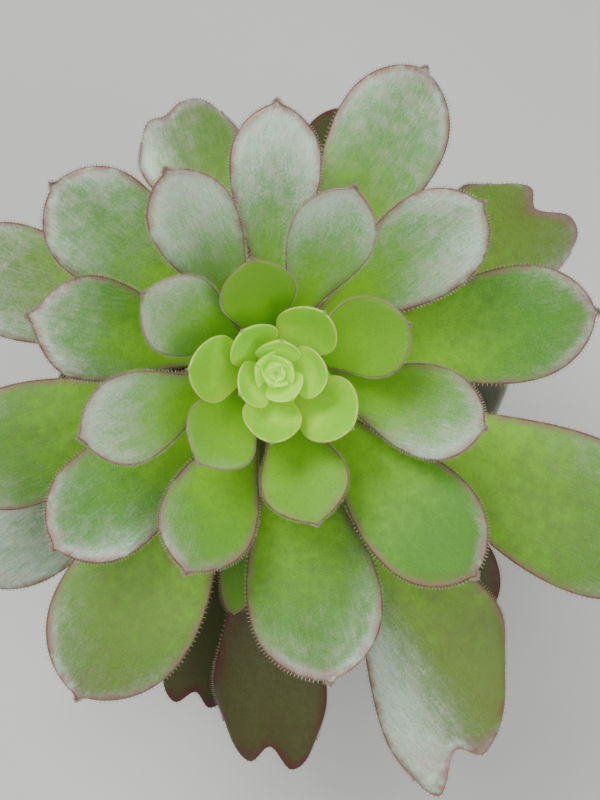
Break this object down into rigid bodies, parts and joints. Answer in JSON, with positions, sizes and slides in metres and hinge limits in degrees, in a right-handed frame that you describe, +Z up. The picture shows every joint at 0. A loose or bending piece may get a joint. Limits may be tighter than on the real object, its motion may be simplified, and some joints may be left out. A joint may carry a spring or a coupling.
{
  "type": "potted aeonium",
  "caption": "Aeonium with one open rosette of spoon-shaped green leaves on a short leaning stem, in a plain square plastic pot of bark soil.",
  "frame": {"origin": "centre of the pot's flat underside", "axes": "+Z up, X and Y square to the pot's walls; the rosette leans towards -Y and +X, and the picture looks down on it from -Y and a little +X"},
  "size_m": [0.3356, 0.2962, 0.3095],
  "materials": {
    "leaf_heart": "satin",
    "leaf_green": "satin",
    "leaf_old": "satin",
    "stem_bark": "matte",
    "bark_soil": "matte",
    "pot_plastic": "satin"
  },
  "bodies": {
    "root": {"pot": "pot_plastic", "soil": "bark_soil", "stem": "stem_bark", "rosette_heart": "leaf_heart", "leaf_11": "leaf_green", "leaf_12": "leaf_green", "leaf_13": "leaf_green", "leaf_14": "leaf_green", "leaf_15": "leaf_green", "leaf_16": "leaf_green", "leaf_17": "leaf_green", "leaf_18": "leaf_green", "leaf_19": "leaf_green", "leaf_20": "leaf_green", "leaf_21": "leaf_green", "leaf_22": "leaf_green", "leaf_23": "leaf_green", "leaf_24": "leaf_green", "leaf_25": "leaf_green", "leaf_26": "leaf_green", "leaf_27": "leaf_green", "leaf_28": "leaf_green", "leaf_29": "leaf_green", "leaf_30": "leaf_green", "leaf_31": "leaf_green", "leaf_32": "leaf_green", "leaf_33": "leaf_green", "leaf_34": "leaf_green", "leaf_35": "leaf_green", "leaf_36": "leaf_green", "leaf_37": "leaf_old", "leaf_38": "leaf_green", "leaf_39": "leaf_green", "leaf_40": "leaf_old", "leaf_41": "leaf_old", "leaf_42": "leaf_green", "leaf_43": "leaf_old", "leaf_44": "leaf_old", "leaf_49": "leaf_green", "leaf_54": "leaf_old"}
  },
  "joints": []
}
